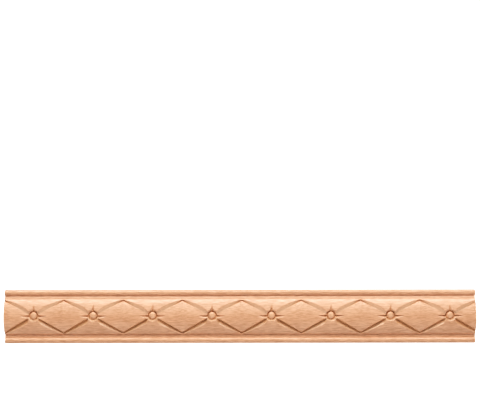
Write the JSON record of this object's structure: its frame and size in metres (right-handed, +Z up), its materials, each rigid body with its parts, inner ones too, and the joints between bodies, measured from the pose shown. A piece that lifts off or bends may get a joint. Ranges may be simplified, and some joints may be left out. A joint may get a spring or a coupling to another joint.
{
  "type": "carved moulding strip",
  "caption": "Straight wooden moulding strip: a domed band carved with round buttons, diagonal grooves and diamonds, between half-round beads, with a flat back.",
  "frame": {"origin": "middle of the flat back, which lies against what the strip is fixed to", "axes": "+X along the strip, +Y out of the flat back into the wall or furniture behind it, +Z up across the width"},
  "size_m": [0.397, 0.01, 0.045],
  "materials": {
    "beech": "bare sanded steamed beech, matt"
  },
  "bodies": {
    "root": {"moulding_strip": "beech"}
  },
  "joints": []
}
